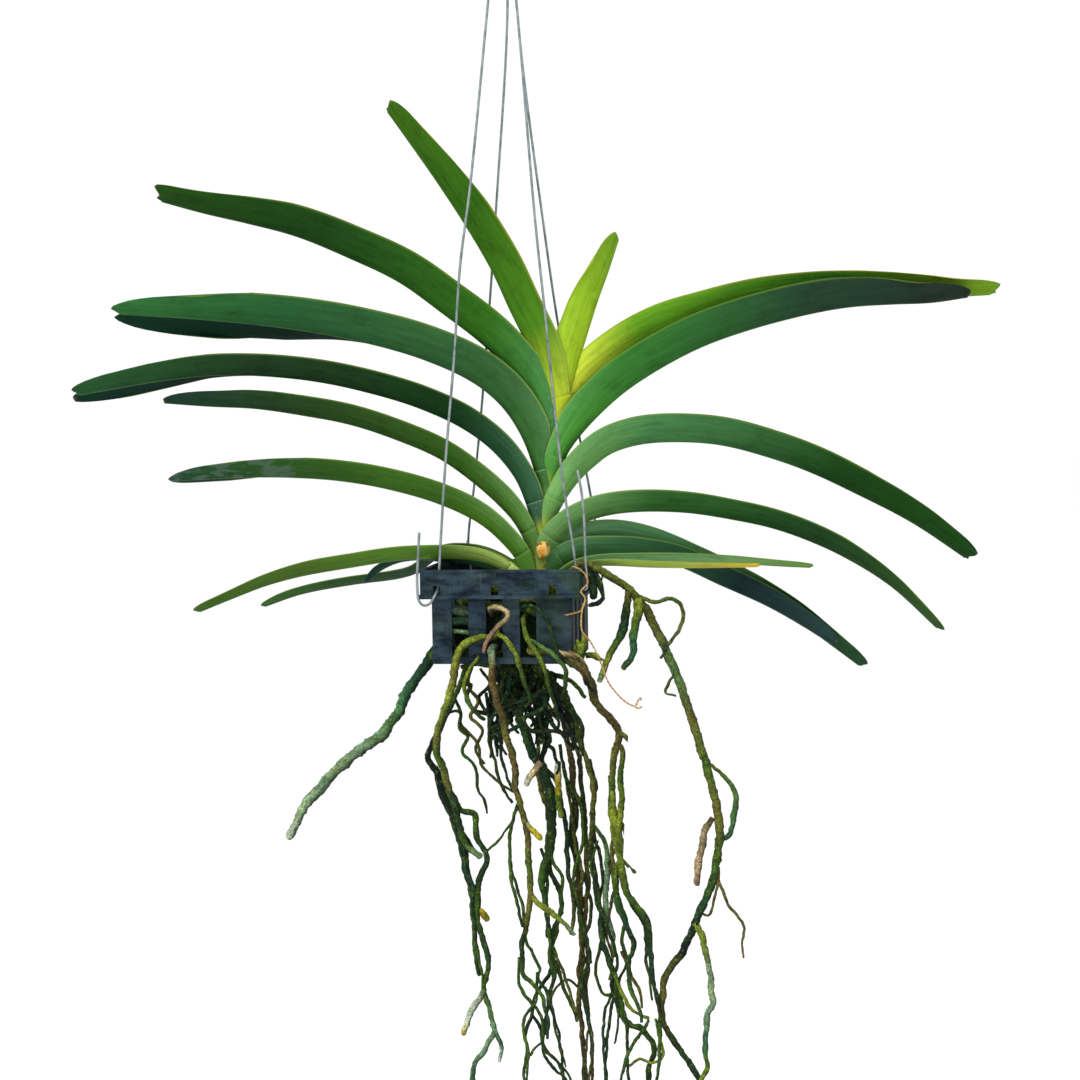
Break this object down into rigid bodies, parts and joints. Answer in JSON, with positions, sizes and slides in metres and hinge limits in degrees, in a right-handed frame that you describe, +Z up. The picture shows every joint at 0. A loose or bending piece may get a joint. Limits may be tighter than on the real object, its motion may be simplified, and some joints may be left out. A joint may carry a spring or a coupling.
{
  "type": "hanging basket orchid",
  "caption": "Vanda orchid with a two-ranked fan of strap leaves and long bare aerial roots in a square slatted hanging basket, held by a four-wire hanger with a hook.",
  "frame": {"origin": "top of the inside of the hanger's hook, where the part rests on what holds it up", "axes": "+Z up, +X along the leaf fan towards its right-hand leaves as seen in the picture, +Y from the viewer's side towards the back"},
  "size_m": [0.5696, 0.1393, 0.8642],
  "materials": {
    "basket": "satin",
    "wire": "satin",
    "leaf": "satin",
    "young_leaf": "satin",
    "old_leaf": "satin",
    "stem": "satin",
    "bud": "satin",
    "dark_root": "matte",
    "brown_root": "matte",
    "bright_root": "matte",
    "pale_root": "matte",
    "dry_root": "matte",
    "label": "satin",
    "tie": "satin"
  },
  "bodies": {
    "root": {"basket": "basket", "hanger_wire_front_left": "wire", "hanger_wire_back_left": "wire", "hanger_wire_front_right": "wire", "hanger_wire_back_right": "wire", "stem": "stem", "root_bud": "bud", "root_ball": "dark_root", "root_dark_bundle": "dark_root", "root_left_pale": "pale_root", "root_left_bright": "bright_root", "root_front_olive": "brown_root", "root_front_dry": "dry_root", "root_front_thin": "bright_root", "root_centre_brown": "brown_root", "root_right_corner": "bright_root", "root_right_long": "bright_root", "plant_label": "label", "label_tie": "tie", "leaf_left_1": "young_leaf", "leaf_left_2": "leaf", "leaf_left_3": "leaf", "leaf_left_4": "leaf", "leaf_left_5": "leaf", "leaf_left_6": "leaf", "leaf_left_7": "leaf", "leaf_left_8": "leaf", "leaf_left_9": "leaf", "leaf_right_1": "young_leaf", "leaf_right_2": "young_leaf", "leaf_right_3": "leaf", "leaf_right_4": "leaf", "leaf_right_5": "leaf", "leaf_right_6": "leaf", "leaf_right_7": "leaf", "leaf_right_8": "leaf", "leaf_right_9": "old_leaf", "leaf_heart": "young_leaf"}
  },
  "joints": []
}
